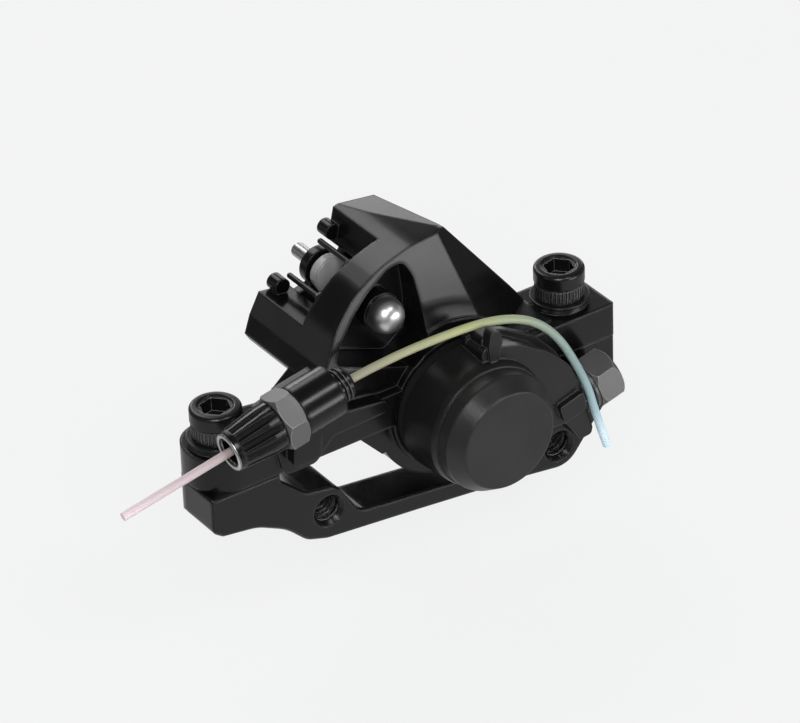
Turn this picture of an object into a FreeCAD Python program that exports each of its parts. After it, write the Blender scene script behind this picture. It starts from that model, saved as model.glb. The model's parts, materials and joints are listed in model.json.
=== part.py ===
import FreeCAD, Part
import math
import os
import re

# Mechanical disc brake caliper. Millimetres.
# X runs along the line of the two caliper bolts, Y points inboard towards the
# wheel, Z points up along the bolts. Z = 0 is the face the caliper stands on.

doc = FreeCAD.newDocument("disc_brake_caliper")
sheet = doc.addObject("Spreadsheet::Sheet", "dims")
V = {}
NODES = []


def dim(alias, value):
    """Put one size in the sheet under a word alias and keep it for the sketches."""
    row = len(V) + 1
    sheet.set("A%d" % row, alias)
    sheet.set("B%d" % row, str(value))
    sheet.setAlias("B%d" % row, alias)
    V[alias] = value
    return value


def bind(obj, prop, text):
    """Bind a property to an expression in the sheet's aliases."""
    words = re.sub(r"[a-z][a-z_0-9]+", lambda m: "dims." + m.group(0) if m.group(0) in V else m.group(0), text)
    obj.setExpression(prop, words)


# mounting
bolt_pitch = dim("bolt_pitch", 74.2)
bolt_r = dim("bolt_r", 2.95)
ear_top = dim("ear_top", 6.7)
ear_front = dim("ear_front", -7.0)
ear_back = dim("ear_back", 6.8)
ear_slot_r = dim("ear_slot_r", 3.2)
ear_slot_shift = dim("ear_slot_shift", 2.2)
cone_washer_t = dim("cone_washer_t", 0.9)
flat_washer_t = dim("flat_washer_t", 0.6)
washer_r = dim("washer_r", 5.5)
washer_bore = dim("washer_bore", 3.1)
head_r = dim("head_r", 4.7)
head_grip_r = dim("head_grip_r", 4.35)
head_h = dim("head_h", 6.0)
socket_af = dim("socket_af", 5.0)
socket_deep = dim("socket_deep", 3.0)
bolt_reach = dim("bolt_reach", 6.6)
# adapter
adapter_front = dim("adapter_front", -7.0)
adapter_back = dim("adapter_back", 1.8)
seat_relief = dim("seat_relief", 0.3)
seat_top = dim("seat_top", -14.2)
post_back = dim("post_back", 6.0)
post_corner_r = dim("post_corner_r", 4.5)
frame_hole_pitch = dim("frame_hole_pitch", 51.0)
frame_hole_tilt = dim("frame_hole_tilt", -8.05)
frame_hole_x = dim("frame_hole_x", -19.1)
frame_hole_z = dim("frame_hole_z", -12.1)
frame_hole_r = dim("frame_hole_r", 2.5)
frame_hole_mouth = dim("frame_hole_mouth", 3.3)
thread_core = dim("thread_core", 2.95)
datum_x = dim("datum_x", 6.15)
datum_z = dim("datum_z", -20.0)
# body, along Y
drum_x = dim("drum_x", 8.9)
drum_z = dim("drum_z", 0.0)
body_front = dim("body_front", -5.0)
rim_front = dim("rim_front", -6.5)
arch_front = dim("arch_front", -0.5)
slot_out = dim("slot_out", 5.6)
slot_in = dim("slot_in", 18.2)
horn_back = dim("horn_back", 19.6)
lobe_back = dim("lobe_back", 20.1)
boss_back = dim("boss_back", 24.6)
housing_r = dim("housing_r", 15.5)
rim_r = dim("rim_r", 13.1)
cavity_r = dim("cavity_r", 9.4)
cavity_front = dim("cavity_front", -3.25)
window_floor = dim("window_floor", 2.6)
tab_back = dim("tab_back", -14.0)
# cable boss
stop_x = dim("stop_x", -41.7)
stop_y = dim("stop_y", -11.0)
stop_z = dim("stop_z", 11.9)
stop_tilt = dim("stop_tilt", 10.8)
boss_r = dim("boss_r", 4.9)
boss_start = dim("boss_start", 14.2)
boss_end = dim("boss_end", 22.0)
stop_thread_r = dim("stop_thread_r", 2.9)
stop_thread_gap = dim("stop_thread_gap", 0.05)
stop_end = dim("stop_end", 25.6)
stop_bore = dim("stop_bore", 1.15)
nut_start = dim("nut_start", 9.9)
nut_end = dim("nut_end", 14.1)
nut_af = dim("nut_af", 9.6)
barrel_end = dim("barrel_end", 9.8)
barrel_r = dim("barrel_r", 4.6)
mouth_r = dim("mouth_r", 3.6)
flute_r = dim("flute_r", 0.75)
# arm and cap
seal_r = dim("seal_r", 12.3)
seal_front = dim("seal_front", -8.35)
seal_gap = dim("seal_gap", 0.1)
drum_back = dim("drum_back", -8.5)
drum_front = dim("drum_front", -17.5)
drum_r_back = dim("drum_r_back", 12.85)
drum_r_front = dim("drum_r_front", 12.2)
drum_cavity_r = dim("drum_cavity_r", 11.0)
drum_cavity_front = dim("drum_cavity_front", -14.8)
hub_r = dim("hub_r", 5.4)
arm_front = dim("arm_front", -15.5)
arm_back = dim("arm_back", -9.0)
lug_back = dim("lug_back", -8.4)
lug_front = dim("lug_front", -15.0)
seat_y = dim("seat_y", -16.0)
seat_r = dim("seat_r", 10.2)
cap_r = dim("cap_r", 11.6)
cap_face_r = dim("cap_face_r", 9.5)
cap_shoulder = dim("cap_shoulder", -20.2)
cap_front = dim("cap_front", -23.3)
cap_wall = dim("cap_wall", 1.2)
arm_screw_r = dim("arm_screw_r", 1.95)
clamp_x = dim("clamp_x", 32.3)
clamp_y = dim("clamp_y", -12.5)
clamp_z = dim("clamp_z", -4.4)
clamp_tilt = dim("clamp_tilt", 14.0)
clamp_r = dim("clamp_r", 2.45)
clamp_af = dim("clamp_af", 9.4)
clamp_head = dim("clamp_head", 5.2)
clamp_washer_t = dim("clamp_washer_t", 0.65)
wire_r = dim("wire_r", 0.8)
wire_gap = dim("wire_gap", 0.1)
# actuator
shaft_r = dim("shaft_r", 3.6)
shaft_gap = dim("shaft_gap", 0.05)
bush_r = dim("bush_r", 5.4)
bush_front = dim("bush_front", -6.3)
disc_r = dim("disc_r", 8.8)
disc_back = dim("disc_back", 0.1)
disc_front = dim("disc_front", -2.6)
ball_r = dim("ball_r", 1.55)
ball_gap = dim("ball_gap", 0.05)
ball_pcr = dim("ball_pcr", 6.2)
ball_y = dim("ball_y", 1.0)
piston_r = dim("piston_r", 9.33)
piston_front = dim("piston_front", 1.9)
piston_back = dim("piston_back", 7.37)
key_r = dim("key_r", 1.0)
key_front = dim("key_front", 1.6)
key_angle = dim("key_angle", 200.0)
# pads
pad_turn = dim("pad_turn", 28.8)
pad_reach = dim("pad_reach", 22.42)
plate_ear_r = dim("plate_ear_r", 3.4)
plate_t = dim("plate_t", 1.6)
lining_t = dim("lining_t", 2.0)
out_plate = dim("out_plate", 7.4)
in_plate = dim("in_plate", 15.4)
pin_r = dim("pin_r", 1.45)
pin_gap = dim("pin_gap", 0.05)
pin_head_r = dim("pin_head_r", 3.0)
pin_seat = dim("pin_seat", -0.4)
pin_head_h = dim("pin_head_h", 3.1)
pin_tip = dim("pin_tip", 26.4)
pin_tip_r = dim("pin_tip_r", 1.4)
adjuster_r = dim("adjuster_r", 5.0)
adjuster_gap = dim("adjuster_gap", 0.05)
adjuster_pad_r = dim("adjuster_pad_r", 7.4)
adjuster_back = dim("adjuster_back", 25.6)
lobe_r = dim("lobe_r", 3.7)
horn_post_r = dim("horn_post_r", 1.55)
# springs
finger_r = dim("finger_r", 0.55)
finger_back = dim("finger_back", 18.4)
spring_wire_r = dim("spring_wire_r", 0.75)
spring_coil_r = dim("spring_coil_r", 8.6)
spring_pitch = dim("spring_pitch", 1.75)
spring_turns = dim("spring_turns", 2.6)
doc.recompute()

half = bolt_pitch / 2.0
UP = FreeCAD.Vector(0, 0, 1)


def origin_plane(body, role):
    for item in body.Origin.OriginFeatures:
        if item.Role == role:
            return item
    raise ValueError(role)


def corners(points):
    """Edges of a closed outline; a third number on a point rounds that corner."""
    n = len(points)
    starts = []
    edges = []
    trims = []
    for i in range(n):
        p = points[i]
        c = FreeCAD.Vector(p[0], p[1], 0)
        r = p[2] if len(p) > 2 else 0
        if r <= 0:
            trims.append((c, c, None))
            continue
        a = FreeCAD.Vector(points[i - 1][0], points[i - 1][1], 0)
        b = FreeCAD.Vector(points[(i + 1) % n][0], points[(i + 1) % n][1], 0)
        room = 0.48 * min((a - c).Length, (b - c).Length)
        u = (a - c).normalize()
        w = (b - c).normalize()
        angle = u.getAngle(w)
        if angle > math.pi - 0.01:
            trims.append((c, c, None))
            continue
        cut = min(r / math.tan(angle / 2.0), room)
        r = cut * math.tan(angle / 2.0)
        m = (u + w).normalize()
        mid = c + m * (r / math.sin(angle / 2.0) - r)
        trims.append((c + u * cut, c + w * cut, mid))
    for i in range(n):
        a, b, mid = trims[i]
        nxt = trims[(i + 1) % n][0]
        if mid is not None:
            edges.append(Part.Arc(a, mid, b))
        if b.distanceToPoint(nxt) > 1e-6:
            edges.append(Part.LineSegment(b, nxt))
    return edges


def pad(name, plane, outlines, low, high):
    """Body with one sketch on a base plane, padded between two heights (aliases or numbers)."""
    body = doc.addObject("PartDesign::Body", name + "_body")
    sk = body.newObject("Sketcher::SketchObject", name + "_sketch")
    sk.AttachmentSupport = [(origin_plane(body, plane), "")]
    sk.MapMode = "FlatFace"
    for outline in outlines:
        if isinstance(outline, tuple):
            ring = Part.Circle(FreeCAD.Vector(outline[0], outline[1], 0), UP, outline[2])
            sk.addGeometry(ring, False)
        else:
            for edge in corners(outline):
                sk.addGeometry(edge, False)
    text_low = str(low)
    text_high = str(high)
    if plane == "XZ_Plane":
        bind(sk, "AttachmentOffset.Base.z", "-(%s)" % text_high)
    else:
        bind(sk, "AttachmentOffset.Base.z", "%s" % text_low)
    doc.recompute()
    feat = body.newObject("PartDesign::Pad", name + "_pad")
    feat.Profile = sk
    bind(feat, "Length", "(%s) - (%s)" % (text_high, text_low))
    body.Tip = feat
    sk.Visibility = False
    doc.recompute()
    return body


def turned(name, outline, axis="Y", at=("0", "0", "0"), tilt=None):
    """Body of revolution. Outline points are (radius, height along the axis)."""
    body = doc.addObject("PartDesign::Body", name + "_body")
    sk = body.newObject("Sketcher::SketchObject", name + "_sketch")
    plane = {"Y": "XY_Plane", "Z": "XZ_Plane", "S": "XZ_Plane"}[axis]
    sk.AttachmentSupport = [(origin_plane(body, plane), "")]
    sk.MapMode = "FlatFace"
    for edge in corners(outline):
        sk.addGeometry(edge, False)
    doc.recompute()
    rev = body.newObject("PartDesign::Revolution", name + "_turn")
    rev.Profile = sk
    rev.ReferenceAxis = (sk, ["V_Axis"])
    rev.Angle = 360
    body.Tip = rev
    sk.Visibility = False
    if tilt is not None:
        body.Placement.Rotation = tilt
    for key, text in zip("xyz", at):
        bind(body, "Placement.Base." + key, text)
    doc.recompute()
    return body


def cylinder(name, at, radius, length, rotation):
    obj = doc.addObject("Part::Cylinder", name)
    bind(obj, "Radius", radius)
    bind(obj, "Height", length)
    obj.Placement.Rotation = rotation
    for key, text in zip("xyz", at):
        bind(obj, "Placement.Base." + key, text)
    doc.recompute()
    return obj


ALONG_Y = FreeCAD.Rotation(FreeCAD.Vector(1, 0, 0), -90)
ALONG_Z = FreeCAD.Rotation()
# cable stop axis: local Z runs along the stop, rising to the right
STOP = FreeCAD.Rotation(FreeCAD.Vector(0, 1, 0), 90 - stop_tilt)
CLAMP = FreeCAD.Rotation(FreeCAD.Vector(0, 1, 0), 90 - clamp_tilt)


def ycyl(name, x, z, radius, low, high):
    return cylinder(name, (x, low, z), radius, "(%s) - (%s)" % (high, low), ALONG_Y)


def zcyl(name, x, y, radius, low, high):
    return cylinder(name, (x, y, low), radius, "(%s) - (%s)" % (high, low), ALONG_Z)


def along(name, radius, low, high, which="stop"):
    """Cylinder on the stop or clamp axis between two stations."""
    text = "%s_x + (%s) * cos(%s_tilt * 1deg)" % (which, low, which)
    x = text
    z = "%s_z + (%s) * sin(%s_tilt * 1deg)" % (which, low, which)
    rot = STOP if which == "stop" else CLAMP
    return cylinder(name, (x, which + "_y", z), radius, "(%s) - (%s)" % (high, low), rot)


def station(s, which="stop"):
    """Point at station s on the stop or clamp axis."""
    t = math.radians(V[which + "_tilt"])
    return FreeCAD.Vector(V[which + "_x"] + s * math.cos(t), V[which + "_y"], V[which + "_z"] + s * math.sin(t))


def box(name, x0, x1, y0, y1, z0, z1, rotation=None, pivot=None):
    obj = doc.addObject("Part::Box", name)
    bind(obj, "Length", "(%s) - (%s)" % (x1, x0))
    bind(obj, "Width", "(%s) - (%s)" % (y1, y0))
    bind(obj, "Height", "(%s) - (%s)" % (z1, z0))
    for key, text in zip("xyz", (x0, y0, z0)):
        bind(obj, "Placement.Base." + key, str(text))
    doc.recompute()
    return obj


def prism(name, af, at, length, rotation, turn=0.0):
    """Six-sided prism given by its width across flats."""
    obj = doc.addObject("Part::Prism", name)
    obj.Polygon = 6
    bind(obj, "Circumradius", "(%s) / cos(30deg) / 2" % af)
    bind(obj, "Height", length)
    obj.Placement.Rotation = rotation.multiply(FreeCAD.Rotation(UP, turn))
    for key, text in zip("xyz", at):
        bind(obj, "Placement.Base." + key, text)
    doc.recompute()
    return obj


def fuse(name, items):
    obj = doc.addObject("Part::MultiFuse", name)
    obj.Shapes = items
    obj.Refine = True
    doc.recompute()
    return obj


def cut(name, base, tools):
    """Cut the tools one after another and check that each really takes material away."""
    for i, tool in enumerate(tools):
        obj = doc.addObject("Part::Cut", name if i == len(tools) - 1 else "%s_%d" % (name, i + 1))
        obj.Base = base
        obj.Tool = tool
        obj.Refine = i == len(tools) - 1
        doc.recompute()
        if obj.Shape.isNull():
            raise ValueError("%s: %s leaves nothing" % (name, tool.Name))
        lost = base.Shape.Volume - obj.Shape.Volume
        if lost < 0.01 or obj.Shape.Volume < 1.0:
            raise ValueError("%s: %s takes %.3f mm3" % (name, tool.Name, lost))
        base = obj
    return base


def bevel(name, base, size, pick, kind="Part::Chamfer"):
    """Chamfer or fillet the edges that pick accepts."""
    obj = doc.addObject(kind, name)
    obj.Base = base
    rows = []
    for i, edge in enumerate(base.Shape.Edges):
        if pick(edge):
            rows.append((i + 1, size, size))
    if not rows:
        raise ValueError(name + ": no edge picked")
    obj.Edges = rows
    doc.recompute()
    if obj.Shape.isNull() or not obj.Shape.isValid():
        raise ValueError(name + ": edge treatment failed")
    return obj


def node(name, obj):
    obj.Label = name
    NODES.append((name, obj))
    return obj


def group(name, items):
    """Separate pieces of one kind, kept as one compound."""
    obj = doc.addObject("Part::Compound", name + "_set")
    obj.Links = items
    doc.recompute()
    return node(name, obj)


# mount adapter
t = math.radians(frame_hole_tilt)
hole2_x = "frame_hole_x + frame_hole_pitch * cos(frame_hole_tilt * 1deg)"
hole2_z = "frame_hole_z + frame_hole_pitch * sin(frame_hole_tilt * 1deg)"
adapter_outline = [
    (-43.2, 0, 0.5), (-43.2, -6.9, 1.6), (-41.2, -8.4, 1.6), (-34.0, -9.5, 10.0), (-28.0, -12.5, 12.0),
    (-23.8, -16.6, 5.0), (-19.5, -18.0, 5.0), (0.6, -20.2, 20.0), (24.4, -23.0, 15.0), (33.6, -24.4, 5.0),
    (39.2, -17.6, 4.0), (44.2, -12.0, 3.0), (44.2, 0, 0.5), (29.6, 0, 0.5), (29.6, -10.5, 3.0),
    (24.5, -17.2, 4.0), (12.0, -17.8, 10.0), (-2.0, -16.1, 10.0), (-12.6, -14.8, 3.5), (-17.2, -7.4, 3.5),
    (-23.6, -6.3, 3.0), (-28.8, -1.6, 1.0), (-28.8, 0),
]
adapter_bar = pad("adapter", "XZ_Plane", [adapter_outline], "adapter_front", "adapter_back")
left_post_outline = [(-43.2, 0, 0.5), (-43.2, -6.9, 1.6), (-41.2, -8.2, 1.6), (-32.5, -8.0, 2.0), (-29.5, 0, 0.5)]
right_post_outline = [(44.2, 0, 0.5), (44.2, -11.9, 2.0), (41.0, -15.2, 2.0), (31.0, -15.2, 2.0), (29.6, 0, 0.5)]
left_post_full = pad("left_post", "XZ_Plane", [left_post_outline], "adapter_front + 1", "post_back")
right_post_full = pad("right_post", "XZ_Plane", [right_post_outline], "adapter_front + 1", "post_back")
posts = []
for tag, full, end, inner in (("left", left_post_full, "-43.2", "1"), ("right", right_post_full, "44.2", "-1")):
    middle = "%s + %s * post_corner_r" % (end, inner)
    outer = "%s - %s * 1" % (end, inner)
    ends = (outer, middle) if tag == "left" else (middle, outer)
    square = box(tag + "_post_square", ends[0], ends[1], "post_back - post_corner_r", "post_back + 1", "-20", "1")
    round_ = zcyl(tag + "_post_round", middle, "post_back - post_corner_r", "post_corner_r", "-21", "2")
    posts.append(cut(tag + "_post_done", full, [cut(tag + "_post_corner", square, [round_])]))
adapter_plate = fuse("adapter_blank", [adapter_bar] + posts)
adapter_cuts = [
    ycyl("frame_hole_a", "frame_hole_x", "frame_hole_z", "frame_hole_r", "adapter_front - 1", "adapter_back + 1"),
    ycyl("frame_hole_b", hole2_x, hole2_z, "frame_hole_r", "adapter_front - 1", "adapter_back + 1"),
    zcyl("post_hole_a", "-bolt_pitch / 2", "0", "thread_core", "-12", "1"),
    zcyl("post_hole_b", "bolt_pitch / 2", "0", "thread_core", "-12", "1"),
]
for tag, hx, hz in (("a", "frame_hole_x", "frame_hole_z"), ("b", hole2_x, hole2_z)):
    cone = doc.addObject("Part::Cone", "mouth_" + tag)
    bind(cone, "Radius1", "frame_hole_mouth")
    bind(cone, "Radius2", "frame_hole_r")
    bind(cone, "Height", "frame_hole_mouth - frame_hole_r")
    cone.Placement.Rotation = ALONG_Y
    bind(cone, "Placement.Base.x", hx)
    bind(cone, "Placement.Base.y", "adapter_front")
    bind(cone, "Placement.Base.z", hz)
    doc.recompute()
    adapter_cuts.append(cone)
adapter_cut = cut("adapter_drilled", adapter_plate, adapter_cuts)


def adapter_rim(edge):
    box_ = edge.BoundBox
    flat = abs(box_.YMin - adapter_front) < 0.01 and abs(box_.YMax - adapter_front) < 0.01
    lobe = math.hypot(box_.Center.x - frame_hole_x, box_.Center.z - frame_hole_z) < 3.5
    other = math.hypot(box_.Center.x - 31.4, box_.Center.z + 19.24) < 3.5
    return flat and not lobe and not other


adapter_edged = bevel("adapter_edges", adapter_cut, 0.4, adapter_rim)
# the seat stops short of the arm, which swings in front of the right post
relief_front = "adapter_front - 1"
arm_relief = box("arm_relief", "29.2", "45", relief_front, "adapter_front + seat_relief", "seat_top", "1")
adapter_part = cut("adapter_relieved", adapter_edged, [arm_relief])
node("mount_adapter", adapter_part)

# caliper bolts and their washers
bolt_base = ear_top + cone_washer_t + flat_washer_t
bolt_outline = [
    (0, -bolt_reach), (bolt_r - 0.6, -bolt_reach), (bolt_r, -bolt_reach + 0.6), (bolt_r, bolt_base),
    (head_grip_r, bolt_base), (head_grip_r, bolt_base + 2.7), (head_r, bolt_base + 3.2),
    (head_r, bolt_base + head_h - 0.1, 1.1), (3.4, bolt_base + head_h, 0.2), (2.95, bolt_base + head_h - 0.35),
    (0, bolt_base + head_h - 0.35),
]
flat_outline = [
    (washer_bore, ear_top + cone_washer_t), (washer_r, ear_top + cone_washer_t, 0.15),
    (washer_r, bolt_base, 0.15), (washer_bore, bolt_base),
]
cone_outline = [
    (washer_bore, ear_top), (washer_r - 0.15, ear_top), (washer_r - 0.6, ear_top + cone_washer_t),
    (washer_bore, ear_top + cone_washer_t),
]
bolts = []
flats = []
cones = []
for side, where in (("left", "-bolt_pitch / 2"), ("right", "bolt_pitch / 2")):
    spot = (where, "0", "0")
    blank = turned("mount_bolt_" + side, bolt_outline, "Z", spot)
    socket_z = "ear_top + cone_washer_t + flat_washer_t + head_h - socket_deep"
    socket = prism("bolt_socket_" + side, "socket_af", (where, "0", socket_z), "socket_deep + 1", ALONG_Z, 12.0)
    bolts.append(cut("mount_bolt_done_" + side, blank, [socket]))
    flats.append(turned("flat_washer_" + side, flat_outline, "Z", spot))
    cones.append(turned("cone_washer_" + side, cone_outline, "Z", spot))
group("mount_bolts", bolts)
group("flat_washers", flats)
group("cone_washers", cones)

# caliper body: outboard half with the arch, housing, ears, horns, inboard half
arch_outline = [
    (-18.1, 11.4, 0.8), (-16.9, 14.9, 1.5), (-13.4, 21.3, 12.0), (-8.4, 26.2, 12.0), (-2.2, 29.3, 20.0),
    (4.4, 31.0, 20.0), (12.6, 31.6, 3.0), (19.0, 23.8, 6.0), (31.5, 7.5, 3.0), (33.0, 0, 0),
    (20.0, 0, 0), (-6.0, -6.5, 0), (-12.0, 0, 5.0), (-31.0, 0, 0), (-31.0, 5.5, 0), (-22.8, 7.6, 6.0),
]
block = pad("arch_block", "XZ_Plane", [arch_outline], "body_front", "horn_back")
housing = ycyl("housing", "drum_x", "drum_z", "housing_r", "body_front", "slot_out")
rim = ycyl("housing_rim", "drum_x", "drum_z", "rim_r", "rim_front", "body_front + 1")
flange_outline = [
    (-43.4, ear_front, 6.6), (44.3, ear_front, 0.6), (44.3, ear_back, 4.5), (30.2, ear_back, 3.0),
    (24.0, slot_out, 2.0), (-24.0, slot_out, 2.0), (-30.4, ear_back, 3.0), (-43.4, ear_back, 6.6),
]
ears = pad("ears", "XY_Plane", [flange_outline], "0", "ear_top")
between_horns = [
    (5.3, 45.0), (0.4, 24.0, 0.4), (12.0, 20.6, 6.0), (20.0, 16.6, 2.0), (28.0, 22.0), (60.0, 22.0), (60.0, -40.0),
    (-60.0, -40.0), (-60.0, 12.4), (-18.7, 12.4), (-17.0, 9.4, 1.0), (-12.5, 8.6, 2.0), (-8.2, 13.0, 2.0),
    (-8.2, 18.0, 0.5), (-60.0, 25.6), (-60.0, 45.0),
]
slot = pad("pad_slot", "XZ_Plane", [between_horns], "slot_out", "horn_back + 5")
in_wall_outline = [
    (-18.0, 11.0, 1.5), (-14.0, 17.0, 1.0), (-8.0, 16.0, 2.0), (-5.0, 16.8, 1.0), (1.2, 18.4, 1.0), (6.0, 26.0, 2.0),
    (13.4, 26.0, 2.0), (20.4, 18.0, 3.0), (22.5, 4.0, 8.0), (15.0, -11.0, 8.0), (3.0, -11.0, 8.0), (-7.5, 0.0, 6.0),
]
in_wall = pad("inboard_half", "XZ_Plane", [in_wall_outline], "slot_in", "lobe_back")
lobe_x = "drum_x - pad_reach * sin(pad_turn * 1deg)"
lobe_z = "drum_z + pad_reach * cos(pad_turn * 1deg)"
lobe = ycyl("pin_lobe", lobe_x, lobe_z, "lobe_r", "slot_in", "lobe_back")
in_boss = ycyl("adjuster_boss", "drum_x", "drum_z", "adjuster_r + 4.4", "slot_in", "boss_back")
horn_posts = [
    ycyl("horn_post_right", "0", "26.97", "horn_post_r", "slot_in - 1.2", "horn_back + 0.3"),
    ycyl("horn_post_left", "-11.2", "19.75", "horn_post_r", "slot_in - 1.2", "horn_back + 0.3"),
]
stop_boss = along("stop_boss", "boss_r", "boss_start", "boss_end")
web_outline = [
    (-29.8, 5.0, 1.0), (-28.6, 11.5, 0), (-20.2, 13.1, 0), (-19.4, 8.6, 0), (-7.0, 6.9, 1.2), (-6.0, 4.4, 1.2),
    (-18.0, 4.0, 2.0), (-22.0, 0.0, 2.0), (-28.5, 0.0, 2.0),
]
stop_web = pad("stop_web", "XZ_Plane", [web_outline], "body_front - 3.0", "body_front + 1")
neck_outline = [(-28.0, 10.6, 0), (-27.9, 16.0, 0), (-20.3, 17.4, 0), (-19.6, 11.0, 0)]
stop_neck = pad("stop_neck", "XZ_Plane", [neck_outline], "stop_y", "body_front + 1")
web_low_outline = [(-28.0, 2.5, 1.0), (-27.6, 12.0, 0), (-21.2, 13.0, 0), (-22.4, 2.5, 1.0)]
stop_rib = pad("stop_rib", "XZ_Plane", [web_low_outline], "stop_y + 0.6", "body_front + 1")

# cuts of the caliper body
lean_outline = [(arch_front, 45.0), (arch_front, 31.8), (body_front - 0.5, 11.13), (body_front - 4.5, 11.13), (body_front - 4.5, 45.0)]
lean_body = doc.addObject("PartDesign::Body", "front_lean_body")
lean_sketch = lean_body.newObject("Sketcher::SketchObject", "front_lean_sketch")
lean_sketch.AttachmentSupport = [(origin_plane(lean_body, "YZ_Plane"), "")]
lean_sketch.MapMode = "FlatFace"
lean_sketch.AttachmentOffset.Base.z = -19.8
for edge in corners(lean_outline):
    lean_sketch.addGeometry(edge, False)
doc.recompute()
lean_pad = lean_body.newObject("PartDesign::Pad", "front_lean_pad")
lean_pad.Profile = lean_sketch
lean_pad.Length = 60
lean_body.Tip = lean_pad
doc.recompute()


def slab(name, points, side):
    """Box whose one face lies in the plane of three points and which fills the space beyond it."""
    normal = (points[1] - points[0]).cross(points[2] - points[0]).normalize()
    if normal.dot(side) < 0:
        normal = normal * -1
    obj = doc.addObject("Part::Box", name)
    obj.Length = 80
    obj.Width = 80
    obj.Height = 30
    obj.Placement.Rotation = FreeCAD.Rotation(UP, normal)
    obj.Placement.Base = points[0] + obj.Placement.Rotation.multVec(FreeCAD.Vector(-40, -40, 0))
    doc.recompute()
    return obj


crest_front = FreeCAD.Vector(12.6, -0.5, 31.6)
crest_back = FreeCAD.Vector(10.7, 19.6, 29.5)
flank = slab(
    "flank_cut",
    (FreeCAD.Vector(10.6, -0.5, 31.4), FreeCAD.Vector(16.0, -4.9, 13.6), FreeCAD.Vector(31.0, 3.0, 7.4)),
    FreeCAD.Vector(0, -1, 0),
)
flank_keep = box("flank_keep", "-10", "50", "-40", "20", "ear_top + 0.4", "ear_top + 30.4")
flank_tool = doc.addObject("Part::Common", "flank_tool")
flank_tool.Base = flank
flank_tool.Tool = flank_keep
doc.recompute()
crest_tool = slab("crest_draft", (crest_front, crest_back, FreeCAD.Vector(3.0, 19.6, 30.6)), UP)
side_tool = slab("side_draft", (crest_front, crest_back, crest_front + FreeCAD.Vector(6.4, 0, -7.8)), UP)
shaped = cut("body_shaped", block, [slot, lean_body, flank_tool, crest_tool, side_tool])
body_sum = fuse("body_sum", [
    shaped, housing, rim, ears, in_wall, lobe, in_boss, stop_boss, stop_web, stop_neck, stop_rib,
] + horn_posts)
window_outline = [
    (-14.8, 15.4, 1.0), (-13.0, 18.8, 6.0), (-9.6, 22.6, 8.0), (-6.0, 25.6, 8.0), (-0.9, 28.6, 5.0), (2.4, 28.9, 2.0),
    (4.0, 25.7, 3.0), (4.6, 20.0), (4.8, 13.0, 1.0), (0.2, 9.6, 1.5),
]
window = pad("window", "XZ_Plane", [window_outline], "body_front - 2", "window_floor")
body_open = cut("body_open", body_sum, [window])
pin_boss = ycyl("pin_boss", lobe_x, lobe_z, "lobe_r", "pin_seat", "window_floor + 1")
body_bossed = fuse("body_bossed", [body_open, pin_boss])
body_tools = [
    ycyl("cavity", "drum_x", "drum_z", "cavity_r", "cavity_front", "slot_out + 1"),
    ycyl("bush_seat", "drum_x", "drum_z", "bush_r", "rim_front - 1", "cavity_front + 1"),
    ycyl("rim_clear", "drum_x", "drum_z", "rim_r", "rim_front - 1", "rim_front"),
    ycyl("rim_recess", "drum_x", "drum_z", "seal_r - 0.6 + seal_gap", "rim_front - 1", "rim_front + 1.2"),
    along("nut_room", "nut_af / 2 + 1.2", "nut_start - 1", "boss_start"),
    along("stop_hole", "stop_thread_r + stop_thread_gap", "boss_start - 1", "boss_end + 1"),
    ycyl("adjuster_hole", "drum_x", "drum_z", "adjuster_r + adjuster_gap", "slot_in - 1", "boss_back + 1"),
    ycyl("adjuster_recess", "drum_x", "drum_z", "adjuster_pad_r + 0.4", "slot_in - 1", "slot_in + 1.0"),
    ycyl("out_pin_hole", lobe_x, lobe_z, "pin_r", "pin_seat - 1", "slot_out + 1"),
    ycyl("in_pin_hole", lobe_x, lobe_z, "pin_r", "slot_in - 1", "lobe_back + 1"),
]
for tag, where in (("left", "-bolt_pitch / 2"), ("right", "bolt_pitch / 2")):
    body_tools.append(zcyl("ear_hole_" + tag, where, "-ear_slot_shift", "ear_slot_r", "-1", "ear_top + 1"))
    body_tools.append(zcyl("ear_hole_in_" + tag, where, "ear_slot_shift", "ear_slot_r", "-1", "ear_top + 1"))
    side = "%s - ear_slot_r" % where
    other = "%s + ear_slot_r" % where
    body_tools.append(box("ear_slot_" + tag, side, other, "-ear_slot_shift", "ear_slot_shift", "-1", "ear_top + 1"))
key_x = "drum_x + cavity_r * cos(key_angle * 1deg)"
key_z = "drum_z + cavity_r * sin(key_angle * 1deg)"
body_tools.append(ycyl("key_hole", key_x, key_z, "key_r", "key_front", "slot_out + 1"))
body_part = cut("body_cut", body_bossed, body_tools)
node("caliper_body", body_part)

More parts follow.
